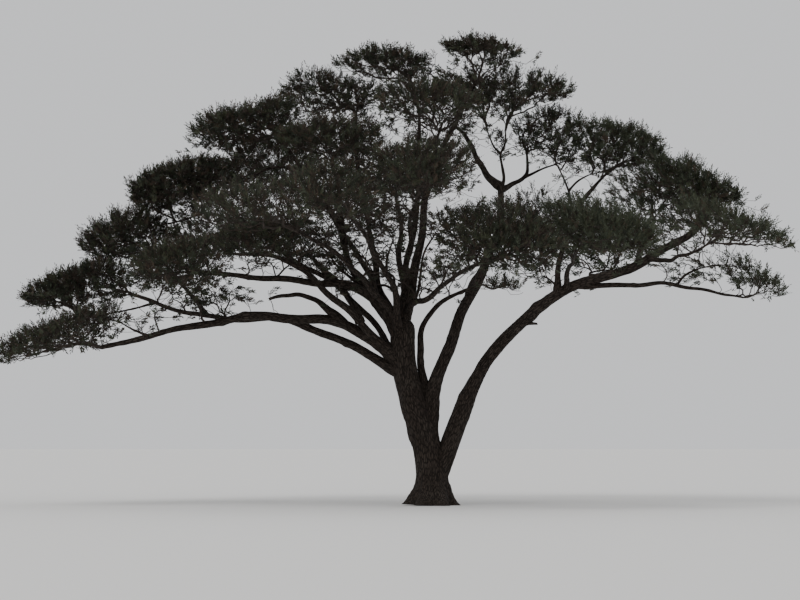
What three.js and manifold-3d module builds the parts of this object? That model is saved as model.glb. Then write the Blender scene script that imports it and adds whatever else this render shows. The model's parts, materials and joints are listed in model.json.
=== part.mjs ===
// An old umbrella thorn acacia, about 13 m high, rooted in the ground.
// A short leaning trunk forks low into boughs that rise and then level off. Each bough
// carries one flat mass of foliage: twigs that branch from one stem, with sprays on them.
// Units are millimetres, +Z is up, and the origin is the middle of the trunk's foot.
import * as THREE from "three";
import { mergeVertices } from "three/addons/utils/BufferGeometryUtils.js";
import Module from "manifold-3d";

const wasm = await Module();
wasm.setup();

// Between two pieces that touch, and between a twig and a limb that it passes.
const CLEARANCE = 0.35;
const TWIG_CLEARANCE = 30;

// The crown's middle and half its width, depth and height: masses tilt outwards from it.
const CROWN = { middle: new THREE.Vector3(-700, 0, 0), half: new THREE.Vector3(10800, 8800, 1) };
const CROWN_TILT = 0.42;

// The trunk: its line stands upright at the foot, leans left and stands up again to the
// fork. Then come its thickness at the foot and the fork, and its root flare.
const TRUNK = {
  line: [[0, 0, 0], [100, 0, 2500], [-1050, 0, 2900], [-760, 0, 5150]],
  footRadius: 370,
  forkRadius: 315,
  flare: 300,
  flareHeight: 420,
  lobes: 6,
  lobeDepth: 0.16,
  sides: 18,
  rings: 9,
  // Above 1, this draws the rings together towards the flare.
  crowding: 1.8,
};

// A limb's end is this share of its root's thickness.
const LIMB_TIP_SHARE = 0.38;
const LIMB_SIDES = 6;
const LIMB_STEP = 1250;
const FEWEST_RINGS = 4;
// Crooks: how far a limb strays from its smooth bow, as a share of its length, and how
// many waves it makes over and across the bow. The last one is finer and half as deep.
const CROOK = 0.012;
const WAVES = { over: 1.4, across: 1.9, fine: 3.7 };

// Each bough leaves `from` at a share `at` of its length, with root thickness `girth`,
// and ends at `tip`. It bows by `arch` of its length, most at `crest`, and an S of depth
// `sway` may be added. Its mass of foliage has its middle at `pad` and reaches `half` to
// each side, to front and back, and up.
const BOUGHS = [
  // The leaning stem on the right, and what grows on it.
  { name: "right_stem", from: "trunk", at: 0.06, girth: 380, arch: 0.094, crest: 0.685,
    sway: 0.066, tip: [7690, 300, 8020], pad: [7000, 700, 8950], half: [1800, 1900, 560] },
  { name: "right_low", from: "right_stem", at: 0.44, girth: 150, arch: 0.036, crest: 0.56,
    tip: [8690, 700, 5750], pad: [9100, 950, 6200], half: [850, 1600, 450] },
  { name: "right_mid", from: "right_stem", at: 0.64, girth: 150, arch: -0.06, crest: 0.5,
    tip: [7250, -2100, 6950], pad: [7950, -2800, 7400], half: [1500, 2300, 480] },
  { name: "right_far", from: "right_stem", at: 0.6, girth: 170, arch: 0.03, crest: 0.4,
    tip: [6450, 3300, 8350], pad: [6900, 4700, 8850], half: [1750, 2100, 520] },
  { name: "right_up", from: "right_stem", at: 0.4, girth: 170, arch: 0.13, crest: 0.49,
    tip: [5200, 1300, 9480], pad: [5050, 1500, 10150], half: [1950, 2100, 520] },
  { name: "front_right", from: "right_stem", at: 0.42, girth: 170, arch: 0.06, crest: 0.4,
    tip: [3750, -3500, 6700], pad: [4300, -4700, 7200], half: [1500, 2300, 560] },
  // The middle stem, and what grows on it.
  { name: "mid_stem", from: "trunk", at: 0.24, girth: 380, arch: 0, crest: 0.57,
    sway: 0.045, tip: [1930, 1000, 8980] },
  { name: "mid_top", from: "mid_stem", at: 0.985, girth: 190, arch: -0.01, crest: 0.55,
    sway: -0.045, tip: [700, 1500, 10650], pad: [2150, 1500, 11700], half: [1900, 1900, 450] },
  { name: "mid_right", from: "mid_stem", at: 0.97, girth: 140, arch: -0.356, crest: 0.59,
    sway: 0.043, tip: [2600, 1800, 10300], pad: [3400, 2300, 10700], half: [1100, 1800, 600] },
  { name: "back_right", from: "mid_stem", at: 0.5, girth: 200, arch: 0.1, crest: 0.4,
    tip: [2900, 4900, 7900], pad: [3400, 6300, 8250], half: [1750, 2000, 500] },
  // The boughs that rise from the fork.
  { name: "leader", from: "trunk", at: 0.985, girth: 250, arch: 0.048, crest: 0.56,
    sway: -0.008, tip: [1150, -500, 11510], pad: [1350, -600, 12450], half: [1150, 1800, 320] },
  { name: "leader_left", from: "trunk", at: 0.97, girth: 210, arch: -0.045, crest: 0.48,
    sway: 0.033, tip: [-450, 500, 11520], pad: [-1300, 400, 12250], half: [1400, 1900, 340] },
  { name: "heart", from: "leader", at: 0.46, girth: 150, arch: 0.04, crest: 0.5,
    tip: [150, -2500, 9950], pad: [-100, -3500, 10650], half: [1500, 1900, 600] },
  { name: "right_inner", from: "leader", at: 0.01, girth: 220, arch: 0.032, crest: 0.27,
    tip: [1100, -4900, 6250], pad: [1650, -6200, 6900], half: [1750, 2000, 700] },
  { name: "slip", from: "mid_stem", at: 0.12, girth: 220, arch: 0.3, crest: 0.47,
    sway: -0.03, tip: [1270, -700, 6000], pad: [1880, -1300, 5880], half: [700, 900, 260] },
  { name: "front_centre", from: "leader_left", at: 0.12, girth: 190, arch: 0.1, crest: 0.4,
    tip: [-450, -5000, 7900], pad: [-300, -6300, 8600], half: [1350, 2100, 600] },
  { name: "left_riser", from: "trunk", at: 0.945, girth: 220, arch: -0.072, crest: 0.34,
    sway: 0.011, tip: [-2120, 1000, 10900], pad: [-2700, 1400, 11650], half: [1550, 2100, 500] },
  { name: "back_centre", from: "trunk", at: 0.965, girth: 210, arch: 0.1, crest: 0.4,
    tip: [-1000, 4700, 9200], pad: [-1000, 6000, 9850], half: [1800, 2300, 560] },
  { name: "left_high", from: "trunk", at: 0.925, girth: 230, arch: 0.004, crest: 0.56,
    sway: -0.03, tip: [-4200, -500, 9970], pad: [-5150, -500, 10500], half: [1500, 2000, 540] },
  { name: "left_crest", from: "left_high", at: 0.42, girth: 150, arch: 0.05, crest: 0.5,
    tip: [-2650, -2800, 9150], pad: [-2750, -3900, 9700], half: [1600, 1900, 500] },
  { name: "back_mid", from: "left_high", at: 0.14, girth: 190, arch: 0.1, crest: 0.4,
    tip: [-4000, 3700, 9250], pad: [-4900, 4700, 9850], half: [1750, 2000, 540] },
  { name: "front_mid", from: "trunk", at: 0.89, girth: 210, arch: 0.1, crest: 0.4,
    tip: [-2100, -5600, 7350], pad: [-2650, -6900, 7900], half: [1400, 2000, 640] },
  { name: "front_left", from: "trunk", at: 0.86, girth: 210, arch: 0.11, crest: 0.4,
    tip: [-3500, -4600, 7100], pad: [-4500, -5900, 7650], half: [1450, 1900, 600] },
  // The long arching boughs on the left, and what grows on them.
  { name: "left_sweep", from: "trunk", at: 0.76, girth: 320, arch: 0.139, crest: 0.476,
    sway: 0.03, tip: [-8970, -1000, 4290], pad: [-10200, -1100, 4600], half: [1750, 2000, 480] },
  { name: "left_low", from: "trunk", at: 0.7, girth: 240, arch: 0.041, crest: 0.54,
    sway: 0.028, tip: [-8300, 500, 5820], pad: [-9800, 600, 6150], half: [1650, 2000, 480] },
  { name: "left_rise", from: "left_low", at: 0.7, girth: 140, arch: 0.02, crest: 0.5,
    tip: [-7600, 700, 6850], pad: [-8650, 1000, 7450], half: [1300, 2000, 640] },
  { name: "left_level", from: "trunk", at: 0.85, girth: 280, arch: 0.169, crest: 0.456,
    sway: 0.05, tip: [-6140, -1900, 6250], pad: [-6600, -3000, 6550], half: [1300, 1900, 640] },
  { name: "left_steep", from: "trunk", at: 0.78, girth: 240, arch: 0.083, crest: 0.517,
    sway: -0.037, tip: [-5000, -1900, 6750], pad: [-4600, -3400, 7000], half: [1250, 1500, 460] },
  { name: "left_shoulder", from: "trunk", at: 0.7, girth: 200, arch: 0.058, crest: 0.408,
    sway: 0.01, tip: [-6350, 600, 8740], pad: [-7000, 1000, 9000], half: [1650, 2100, 540] },
  { name: "back_left", from: "left_steep", at: 0.3, girth: 190, arch: 0.12, crest: 0.4,
    tip: [-5500, 4100, 7500], pad: [-6500, 5200, 7950], half: [1750, 2000, 560] },
];
// Dead branches that have lost their ends, and so have no foliage.
const STUBS = [
  { from: "left_sweep", at: 0.22, girth: 190, arch: 0.17, crest: 0.56, tip: [-4450, -400, 5640] },
  { from: "right_stem", at: 0.3, girth: 120, arch: 0.05, crest: 0.5, tip: [2880, 100, 4990] },
];

// Foliage: a spray is one blade on its twig, and there is about one to each SPRAY_AREA.
const SPRAY = { length: 1150, width: 800, thickness: 46, widest: 0.45, stalk: 6 };
const SPRAY_AREA = 0.7e6;
// A mass's sprays start this share of their length inside its rim, or at least at this
// share of its width. Their roots lie on its dome or, each third one, at its underside,
// as shares of its height, and are uneven by a share too.
const INSET = 0.6;
const LEAST_SPREAD = 0.4;
const DOME = 0.8;
const UNDERSIDE = -0.5;
const UNEVEN = 0.4;
// How far a spray may reach, as shares of its mass's width and height.
const RIM = 1.08;
const LEVELS = 1.5;
// How far a spray may tilt down and up, and lean over to either side, in radians.
const PITCH = { least: -0.17, most: 0.53 };
const ROLL = 0.5;
// A spray tries these sizes, and these turns from its place's outward side, in radians:
// at a twig's end, and where the twig goes on. It keeps LEAST_FORK off its own twig.
const SPRAY_SIZES = [1, 0.84, 0.7, 0.56];
const END_TURNS = [0, 0.4, -0.4, 0.8, -0.8, 1.1, -1.1];
const SIDE_TURNS = [0.8, -0.8, 1.2, -1.2, 0.4, -0.4, 1.8, -1.8];
const LEAST_FORK = 0.45;
const SPRAY_GAP = 20;
// A twig's radius at its last spray grows by this power of the sprays that it carries.
// A side twig's root is a share of that, so that it stays inside the twig it leaves.
const TWIG_END = 16;
const TWIG_GROWTH = 0.35;
// How far a twig's point stands beyond its last spray.
const TWIG_POINT = 20;
const SUNK_ROOT = 0.4;
const STEM_LENGTH = 160;
// A twig's way back to the stem counts this much against a shorter join.
const BALANCE = 0.45;
// Fused twigs lose the corners that stray less than this from their neighbours.
const SIMPLE = 3;
// How much heights count when two masses share out the space between them.
const SQUASH = 2;
const SPACE_MARGIN = 20;
const GOLDEN_ANGLE = Math.PI * (3 - Math.sqrt(5));

// The limbs share one seed, and each mass draws from its own.
const LIMB_SEED = 71;
const FIRST_SEED = 1000;
const SEED_STEP = 37;

const UP = new THREE.Vector3(0, 0, 1);
const vector = (numbers) => new THREE.Vector3(...numbers);

// Seeded draws between 0 and 1, the same in every run.
function dice(seed) {
  let state = seed;
  return () => {
    state = (state * 16807) % 2147483647;
    return state / 2147483647;
  };
}

// A closed geometry as a solid that can be joined and cut.
function solidOf(geometry) {
  const bare = geometry.clone();
  bare.deleteAttribute("normal");
  bare.deleteAttribute("uv");
  const merged = mergeVertices(bare, 1e-3);
  return new wasm.Manifold(
    new wasm.Mesh({
      numProp: 3,
      vertProperties: merged.attributes.position.array,
      triVerts: new Uint32Array(merged.index.array),
    }),
  );
}

function geometryOf(solid) {
  const mesh = solid.getMesh();
  return new THREE.BufferGeometry()
    .setAttribute("position", new THREE.BufferAttribute(mesh.vertProperties, 3))
    .setIndex(new THREE.BufferAttribute(mesh.triVerts, 1))
    .toNonIndexed();
}

// The largest outer body of a solid, with sealed hollows filled and loose scraps dropped.
function largest(solid) {
  return solid.decompose().reduce((a, b) => (b.volume() > a.volume() ? b : a));
}

// The line of a limb: a smooth bow from root to tip, with seeded crooks.
function limbLine(root, tip, { arch, crest, sway = 0 }, draw) {
  const chord = tip.clone().sub(root);
  const length = chord.length();
  const along = chord.clone().normalize();
  const side = along.clone().cross(UP).normalize();
  const rise = side.clone().cross(along);
  const bend = root
    .clone()
    .addScaledVector(chord, 2 * crest - 0.5)
    .addScaledVector(rise, 2 * arch * length);
  const bow = new THREE.QuadraticBezierCurve3(root, bend, tip);
  const phases = [draw(), draw(), draw()];
  const point = (t) => {
    const stray = CROOK * length * Math.sin(Math.PI * t);
    const wave = (waves, phase) => stray * Math.sin(2 * Math.PI * (waves * t + phase));
    return bow
      .getPoint(t)
      .addScaledVector(rise, sway * length * Math.sin(2 * Math.PI * t))
      .addScaledVector(rise, wave(WAVES.over, phases[0]))
      .addScaledVector(side, wave(WAVES.across, phases[1]))
      .addScaledVector(rise, wave(WAVES.fine, phases[2]) / 2);
  };
  const heading = (t) => {
    const step = 0.01;
    return point(Math.min(1, t + step))
      .sub(point(Math.max(0, t - step)))
      .normalize();
  };
  return { point, heading, side, length };
}

// A round solid along a line: a cylinder whose rings are moved onto it. `spare` is what
// it is larger by, all round and at both ends.
function tube(line, radiusAt, sides, rings, spare = 0) {
  const geometry = new THREE.CylinderGeometry(1, 1, 1, sides, rings);
  const place = geometry.attributes.position;
  for (let i = 0; i < place.count; i++) {
    const t = place.getY(i) + 0.5;
    const across = place.getX(i);
    const over = place.getZ(i);
    const heading = line.heading(t);
    const rise = line.side.clone().cross(heading).normalize();
    const side = heading.clone().cross(rise);
    const radius = radiusAt(t, Math.atan2(over, across)) + spare;
    const spot = line
      .point(t)
      .addScaledVector(heading, t === 1 ? spare : t === 0 ? -spare : 0)
      .addScaledVector(side, across * radius)
      .addScaledVector(rise, over * radius);
    place.setXYZ(i, spot.x, spot.y, spot.z);
  }
  return geometry;
}

// A limb is its line, its thickness and its solid. `grown` is what cuts its neighbours.
function limb(name, line, radiusAt, sides, rings) {
  return {
    name,
    line,
    radiusAt,
    solid: solidOf(tube(line, radiusAt, sides, rings)),
    grown: solidOf(tube(line, radiusAt, sides, rings, CLEARANCE)),
  };
}

// The trunk widens to lobed roots at its foot, and its foot is cut flat at the ground.
function trunk() {
  const curve = new THREE.CubicBezierCurve3(...TRUNK.line.map(vector));
  const line = {
    point: (t) => curve.getPoint(t),
    heading: (t) => curve.getTangent(t),
    side: new THREE.Vector3(1, 0, 0),
    length: curve.getLength(),
  };
  const radiusAt = (t, angle) => {
    const flare = Math.exp(-line.point(t).z / TRUNK.flareHeight);
    const lobe = 1 + TRUNK.lobeDepth * flare * Math.cos(TRUNK.lobes * angle);
    const taper = TRUNK.footRadius + (TRUNK.forkRadius - TRUNK.footRadius) * t;
    return (taper + TRUNK.flare * flare) * lobe;
  };
  const crowded = (t) => t ** TRUNK.crowding;
  const made = limb("trunk", crowdedLine(line, crowded), (t, a) => radiusAt(crowded(t), a),
    TRUNK.sides, TRUNK.rings);
  made.solid = made.solid.trimByPlane([0, 0, 1], 0);
  return { ...made, line, radiusAt };
}

// The same line with its rings drawn together towards the root.
function crowdedLine(line, crowded) {
  return {
    ...line,
    point: (t) => line.point(crowded(t)),
    heading: (t) => line.heading(crowded(t)),
  };
}

function bough(plan, parent, draw) {
  const line = limbLine(parent.line.point(plan.at), vector(plan.tip), plan, draw);
  const radiusAt = (t) => (plan.girth / 2) * (1 - (1 - LIMB_TIP_SHARE) * t);
  const rings = Math.max(FEWEST_RINGS, Math.round(line.length / LIMB_STEP));
  return limb(plan.name, line, radiusAt, LIMB_SIDES, rings);
}

function boxesMeet(a, b, reach) {
  const [p, q] = [a.boundingBox(), b.boundingBox()];
  return [0, 1, 2].every((i) => p.min[i] - reach < q.max[i] && q.min[i] - reach < p.max[i]);
}

// Whether two solids lie at least this gap apart.
function apart(a, b, gap) {
  return !boxesMeet(a, b, gap) || a.minGap(b, gap) >= gap;
}

// Cuts a limb clear of every limb made before it.
function seat(made, earlier) {
  for (const other of earlier) {
    if (boxesMeet(made.solid, other.grown, 0)) {
      made.solid = largest(made.solid.subtract(other.grown));
    }
  }
}

// A ring of a twig or a spray: a triangle across its heading with its ridge on top.
function ring(spot, heading, across, wide, high = wide) {
  const side = across.clone().addScaledVector(heading, -across.dot(heading)).normalize();
  const rise = side.clone().cross(heading);
  return { spot, side, rise, wide, high };
}

// A closed three-sided solid through rings that comes to a point at its tip.
function spike(rings, tip) {
  const count = rings.length;
  const geometry = new THREE.ConeGeometry(1, 1, 3, count);
  const place = geometry.attributes.position;
  for (let i = 0; i < place.count; i++) {
    const index = Math.round((place.getY(i) + 0.5) * count);
    const across = new THREE.Vector2(place.getX(i), place.getZ(i));
    const spot = (rings[index]?.spot ?? tip).clone();
    if (index < count && across.length() > 1e-6) {
      const { side, rise, wide, high } = rings[index];
      across.normalize();
      spot.addScaledVector(side, across.x * wide).addScaledVector(rise, across.y * high);
    }
    place.setXYZ(i, spot.x, spot.y, spot.z);
  }
  return solidOf(geometry);
}

// A spray is a thin blade: a ridge above, flat below, and widest nearer its root.
function blade(root, heading, roll, size) {
  const length = SPRAY.length * size;
  const across = heading.clone().cross(UP).applyAxisAngle(heading, roll);
  const broad = root.clone().addScaledVector(heading, SPRAY.widest * length);
  const wide = (SPRAY.width * size) / Math.sqrt(3);
  const high = (SPRAY.thickness * size) / 1.5;
  return {
    rings: [
      ring(root, heading, across, SPRAY.stalk),
      ring(broad, heading, across, wide, high),
    ],
    tip: root.clone().addScaledVector(heading, length),
  };
}

// The space of a mass: an oval pad that slopes away from the crown's middle.
function padOf({ pad, half }) {
  const middle = vector(pad);
  const tilt = middle.clone().sub(CROWN.middle).divide(CROWN.half).multiplyScalar(-CROWN_TILT);
  const slope = (x, y) => tilt.x * x + tilt.y * y;
  const holds = (point) => {
    const { x, y, z } = point.clone().sub(middle);
    const level = Math.abs(z - slope(x, y)) / half[2];
    return Math.hypot(x / half[0], y / half[1]) < RIM && level < LEVELS;
  };
  return { middle, half, slope, holds };
}

// Where the sprays of a mass stand: laid out like the seeds of a sunflower over its
// domed top and just under it.
function sprayPlaces({ middle, half: [a, b, h], slope }, draw) {
  const count = Math.round((Math.PI * a * b) / SPRAY_AREA);
  const turn = draw() * 2 * Math.PI;
  const inset = INSET * SPRAY.length;
  return Array.from({ length: count }, (_, k) => {
    const out = Math.sqrt((k + 0.5) / count);
    const angle = turn + k * GOLDEN_ANGLE;
    const x = Math.max(a - inset, LEAST_SPREAD * a) * out * Math.cos(angle);
    const y = Math.max(b - inset, LEAST_SPREAD * b) * out * Math.sin(angle);
    const layer = k % 3 === 2 ? UNDERSIDE : DOME * (1 - out * out);
    const z = h * (layer + UNEVEN * (draw() - 0.5)) + slope(x, y);
    const outward = new THREE.Vector3(x / a, y / b, 0).normalize();
    outward.z = slope(outward.x, outward.y) + PITCH.least + (PITCH.most - PITCH.least) * draw();
    return {
      spot: middle.clone().add(new THREE.Vector3(x, y, z)),
      outward,
      roll: ROLL * (2 * draw() - 1),
    };
  });
}

// How far a point lies inside the space of a mass, between it and every other mass.
function roomIn(point, own, plans) {
  const squashed = (from, to) => {
    const gap = to.clone().sub(from);
    return { gap, square: gap.x ** 2 + gap.y ** 2 + (SQUASH * gap.z) ** 2 };
  };
  const home = vector(own.pad);
  const near = squashed(point, home).square;
  let room = Infinity;
  for (const other of plans) {
    if (other === own) continue;
    const there = vector(other.pad);
    const { gap } = squashed(home, there);
    const slope = Math.hypot(gap.x, gap.y, SQUASH * SQUASH * gap.z);
    room = Math.min(room, (squashed(point, there).square - near) / (2 * slope));
  }
  return room;
}

// The twig's nodes, from the root at the bough's tip to the places of the sprays: each
// place in turn joins the nearest node, where a long way back to the stem counts against it.
function twigNodes(root, heading, places, isClear) {
  const foot = { spot: root, before: null };
  const stem = { spot: root.clone().addScaledVector(heading, STEM_LENGTH), before: foot, way: 0 };
  const nodes = [stem];
  const waiting = [...places];
  while (waiting.length) {
    const joins = waiting
      .flatMap((place) => nodes.map((node) => {
        const gap = node.spot.distanceTo(place.spot);
        return { place, node, gap, cost: gap + BALANCE * node.way };
      }))
      .sort((p, q) => p.cost - q.cost);
    const join = joins.find(({ place, node }) => {
      const heading = place.spot.clone().sub(node.spot).normalize();
      const across = new THREE.Vector3(heading.y, -heading.x, 0);
      return isClear(spike([ring(node.spot, heading, across, TWIG_END)], place.spot));
    });
    if (!join) break;
    waiting.splice(waiting.indexOf(join.place), 1);
    nodes.push({ ...join.place, before: join.node, way: join.node.way + join.gap });
  }
  nodes.unshift(foot);
  for (const node of nodes) node.load = 1;
  for (const node of nodes.toReversed()) {
    if (node.before) node.before.load += node.load;
  }
  return nodes;
}

// The nodes as chains: each goes on to the child that carries most, and every other
// child starts a chain of its own there.
function twigChains(nodes) {
  const chains = [];
  const follow = (chain) => {
    const children = nodes
      .filter((node) => node.before === chain.at(-1))
      .sort((a, b) => b.load - a.load);
    if (!children.length) chains.push(chain);
    else follow([...chain, children[0]]);
    for (const child of children.slice(1)) follow([chain.at(-1), child]);
  };
  follow([nodes[0]]);
  return chains;
}

// The rings of a twig, one at each node of its chain, thinner as it carries less. Each
// ring stands as little turned from the one before it as it can.
function twigRings(chain, stemRadius) {
  const spots = chain.map((node) => node.spot);
  const last = chain.length - 1;
  let across = spots[last].clone().sub(spots[0]).setZ(0).normalize().cross(UP);
  return chain.map((node, index) => {
    const heading = spots[Math.min(last, index + 1)]
      .clone()
      .sub(spots[Math.max(0, index - 1)])
      .normalize();
    const radius = node.before ? TWIG_END * node.load ** TWIG_GROWTH : stemRadius;
    const sunk = index === 0 && node.before ? SUNK_ROOT : 1;
    const made = ring(spots[index], heading, across, radius * sunk);
    across = made.side;
    return made;
  });
}

// A mass: its twigs on one stem, with a spray at each node. What has no room is skipped.
function foliage(plan, own, limbs, plans, draw) {
  const heading = own.line.heading(1);
  const root = own.line.point(1).addScaledVector(heading, CLEARANCE);
  const isClear = (solid) => limbs.every((other) => apart(solid, other.solid, TWIG_CLEARANCE));
  const space = padOf(plan);
  const isInside = (point) => space.holds(point) && roomIn(point, plan, plans) > SPACE_MARGIN;
  const places = sprayPlaces(space, draw).filter(({ spot }) => isInside(spot));
  const chains = twigChains(twigNodes(root, heading, places, isClear));
  const twigs = chains.map((chain) => {
    const [before, end] = chain.slice(-2).map((node) => node.spot);
    const tip = end.clone().sub(before).setLength(TWIG_POINT).add(end);
    return { chain, solid: spike(twigRings(chain, own.radiusAt(1)), tip) };
  });

  const taken = [];
  const sprayAt = (node, turns) => {
    const others = twigs.filter(({ chain }) => !chain.includes(node)).map(({ solid }) => solid);
    const found = roomFor(node, turns, isInside, (solid) => {
      return isClear(solid) && [...others, ...taken].every((other) => apart(solid, other, SPRAY_GAP));
    });
    if (found) taken.push(found);
    return found;
  };
  const pieces = twigs.flatMap(({ chain, solid }) => {
    const end = sprayAt(chain.at(-1), END_TURNS);
    const sides = chain.slice(1, -1).map((node) => node.outward && sprayAt(node, SIDE_TURNS));
    return [solid, end, ...sides].filter(Boolean);
  });
  return largest(wasm.Manifold.union(pieces).simplify(SIMPLE));
}

// The first size and turn of a spray that has room at a node, or nothing.
function roomFor(node, turns, isInside, isClear) {
  const back = node.before.spot.clone().sub(node.spot).normalize();
  for (const size of SPRAY_SIZES) {
    for (const turn of turns) {
      const heading = node.outward.clone().applyAxisAngle(UP, turn).normalize();
      const { rings, tip } = blade(node.spot, heading, node.roll, size);
      const corners = [-1, 1].map((way) => {
        return rings[1].spot.clone().addScaledVector(rings[1].side, way * rings[1].wide);
      });
      if (heading.angleTo(back) < LEAST_FORK || ![tip, ...corners].every(isInside)) continue;
      const solid = spike(rings, tip);
      if (isClear(solid)) return solid;
    }
  }
  return null;
}

const BARK = new THREE.MeshStandardMaterial({ color: 0x463b33, roughness: 0.95, metalness: 0 });
const LEAVES = new THREE.MeshStandardMaterial({ color: 0x4a5232, roughness: 0.8, metalness: 0 });

function meshOf(name, solid, material) {
  const mesh = new THREE.Mesh(geometryOf(solid), material);
  mesh.name = name;
  return mesh;
}

const limbDraw = dice(LIMB_SEED);
const limbs = [trunk()];
const limbNamed = (name) => limbs.find((made) => made.name === name);
for (const plan of BOUGHS) {
  const made = bough(plan, limbNamed(plan.from), limbDraw);
  seat(made, limbs);
  limbs.push(made);
}
for (const plan of STUBS) {
  const parent = limbNamed(plan.from);
  const made = bough(plan, parent, limbDraw);
  seat(made, limbs.filter((other) => other !== parent));
  parent.solid = parent.solid.add(made.solid);
}

const tree = new THREE.Group();
for (const { name, solid } of limbs) {
  tree.add(meshOf(name === "trunk" ? name : `bough_${name}`, solid, BARK));
}
const leafy = BOUGHS.filter((plan) => plan.pad);
leafy.forEach((plan, index) => {
  const draw = dice(FIRST_SEED + index * SEED_STEP);
  const mass = foliage(plan, limbNamed(plan.name), limbs, leafy, draw);
  tree.add(meshOf(`foliage_${plan.name}`, mass, LEAVES));
});

export default tree;
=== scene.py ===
import json
import math

import bmesh
import bpy
import numpy as np
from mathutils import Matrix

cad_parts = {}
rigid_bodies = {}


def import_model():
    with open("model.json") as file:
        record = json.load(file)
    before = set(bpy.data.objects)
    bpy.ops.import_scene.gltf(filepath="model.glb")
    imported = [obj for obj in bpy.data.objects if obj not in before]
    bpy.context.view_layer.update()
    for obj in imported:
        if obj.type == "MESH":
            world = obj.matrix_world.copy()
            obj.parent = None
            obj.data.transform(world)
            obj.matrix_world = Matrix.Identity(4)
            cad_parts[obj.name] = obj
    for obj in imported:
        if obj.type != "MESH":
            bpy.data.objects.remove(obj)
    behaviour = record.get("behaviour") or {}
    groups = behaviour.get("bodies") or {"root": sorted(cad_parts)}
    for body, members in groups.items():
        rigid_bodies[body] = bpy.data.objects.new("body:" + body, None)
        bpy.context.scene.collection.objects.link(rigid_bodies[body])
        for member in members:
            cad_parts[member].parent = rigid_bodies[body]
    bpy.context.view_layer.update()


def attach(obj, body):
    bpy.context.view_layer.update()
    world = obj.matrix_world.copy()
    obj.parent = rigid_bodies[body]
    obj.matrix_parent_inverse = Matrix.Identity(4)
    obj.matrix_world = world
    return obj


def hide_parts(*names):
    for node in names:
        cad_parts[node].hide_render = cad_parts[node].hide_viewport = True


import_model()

# The view. The tree stands alone on a wide pale floor under a pale, even sky, with one
# broad soft lamp high on the left. The camera is low and far off, and looks up a little.
IMAGE_WIDTH = 800
SENSOR_WIDTH = 36
FOCAL_LENGTH = 2290
HORIZON_BELOW_MIDDLE = 145
EYE = (-0.88, -63, 1.65)
FLOOR_RADIUS = 900
FLOOR_SIDES = 96
FLOOR_COLOUR = (0.72, 0.71, 0.69)
LAMP_STRENGTH = 1.6
LAMP_WIDTH = 35
LAMP_TURNS = (42, 0, -35)
SKY_COLOUR = (0.88, 0.89, 0.91, 1)
SKY_STRENGTH = 0.9
SHINE = 0.25
DULL = 0.9


def placed(name, data):
    """A new object in the scene, at the origin."""
    made = bpy.data.objects.new(name, data)
    bpy.context.scene.collection.objects.link(made)
    return made


def object_from(mesh, materials):
    """A mesh as an object of its name, with its materials in the order of their slots."""
    for material in materials:
        mesh.materials.append(material)
    return placed(mesh.name, mesh)


def set_sockets(shader, values):
    """Gives the inputs of a node their values."""
    for socket, value in values.items():
        shader.inputs[socket].default_value = value


def new_material(name, values):
    """A material, with its node tree and the shader that takes the values."""
    material = bpy.data.materials.new(name)
    material.use_nodes = True
    shader = material.node_tree.nodes["Principled BSDF"]
    set_sockets(shader, values)
    return material, material.node_tree, shader


def plain(name, colour, roughness):
    """A material of one plain colour."""
    values = {"Base Color": (*colour, 1), "Roughness": roughness, "Specular IOR Level": SHINE}
    return new_material(name, values)[0]


eye_lens = bpy.data.cameras.new("eye")
eye_lens.sensor_width = SENSOR_WIDTH
eye_lens.lens = SENSOR_WIDTH * FOCAL_LENGTH / IMAGE_WIDTH
eye_lens.clip_end = 3 * FLOOR_RADIUS
eye = placed("eye", eye_lens)
eye.location = EYE
eye.rotation_euler = (math.pi / 2 + math.atan(HORIZON_BELOW_MIDDLE / FOCAL_LENGTH), 0, 0)
bpy.context.scene.camera = eye

lamp_light = bpy.data.lights.new("lamp", "SUN")
lamp_light.energy = LAMP_STRENGTH
lamp_light.angle = math.radians(LAMP_WIDTH)
lamp = placed("lamp", lamp_light)
lamp.rotation_euler = [math.radians(turn) for turn in LAMP_TURNS]

sky = bpy.data.worlds.new("sky")
sky.use_nodes = True
set_sockets(sky.node_tree.nodes["Background"], {"Color": SKY_COLOUR, "Strength": SKY_STRENGTH})
bpy.context.scene.world = sky

floor_bm = bmesh.new()
bmesh.ops.create_circle(floor_bm, cap_ends=True, segments=FLOOR_SIDES, radius=FLOOR_RADIUS)
floor_mesh = bpy.data.meshes.new("floor")
floor_bm.to_mesh(floor_mesh)
floor_bm.free()
floor = object_from(floor_mesh, [plain("pale_floor", FLOOR_COLOUR, DULL)])

# The trunk. One short bole of hard brown wood under dark, deeply split bark. It spreads
# into lobed roots, leans left, and is cut flat at the ground, where its rings show.
TRUNK_LINE = [(0, 0, 0), (0.1, 0, 2.5), (-1.05, 0, 2.9), (-0.76, 0, 5.15)]
FOOT_RADIUS = 0.37
FORK_RADIUS = 0.315
FLARE = 0.3
FLARE_HEIGHT = 0.42
LOBES = 6
LOBE_DEPTH = 0.16
TRUNK_SIDES = 104
TRUNK_ROW = 0.028
BARK_SEED = 5
# Plates, their wanderings, fine splits and lumps: so many to a metre round the limb and
# along it.
PLATES = (15, 15, 2.6)
PLATE_WANDER = 0.5
WANDERS = (5, 5, 2.2)
SPLIT_DEPTH = 0.05
SPLIT_BY_RADIUS = 0.35
FINE_SPLITS = (38, 38, 9)
FINE_DEPTH = 0.35
LUMPS = (3.2, 3.2, 1.3)
LUMP_HEIGHT = 0.09
# The grain winds round a limb by this much, in radians to a metre.
GRAIN_TURN = 0.22
# Knots stand where small branches were lost: so many to a metre, in shares of the limb's
# radius.
KNOTS_TO_A_METRE = 0.5
KNOT_SIZES = (0.5, 1.1)
KNOT_HEIGHT = 0.32
# A broken end splinters over this share of the limb for each metre of the splinters.
SPLINTERS_ROUND = 4
SPLINTERED = 0.4
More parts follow.
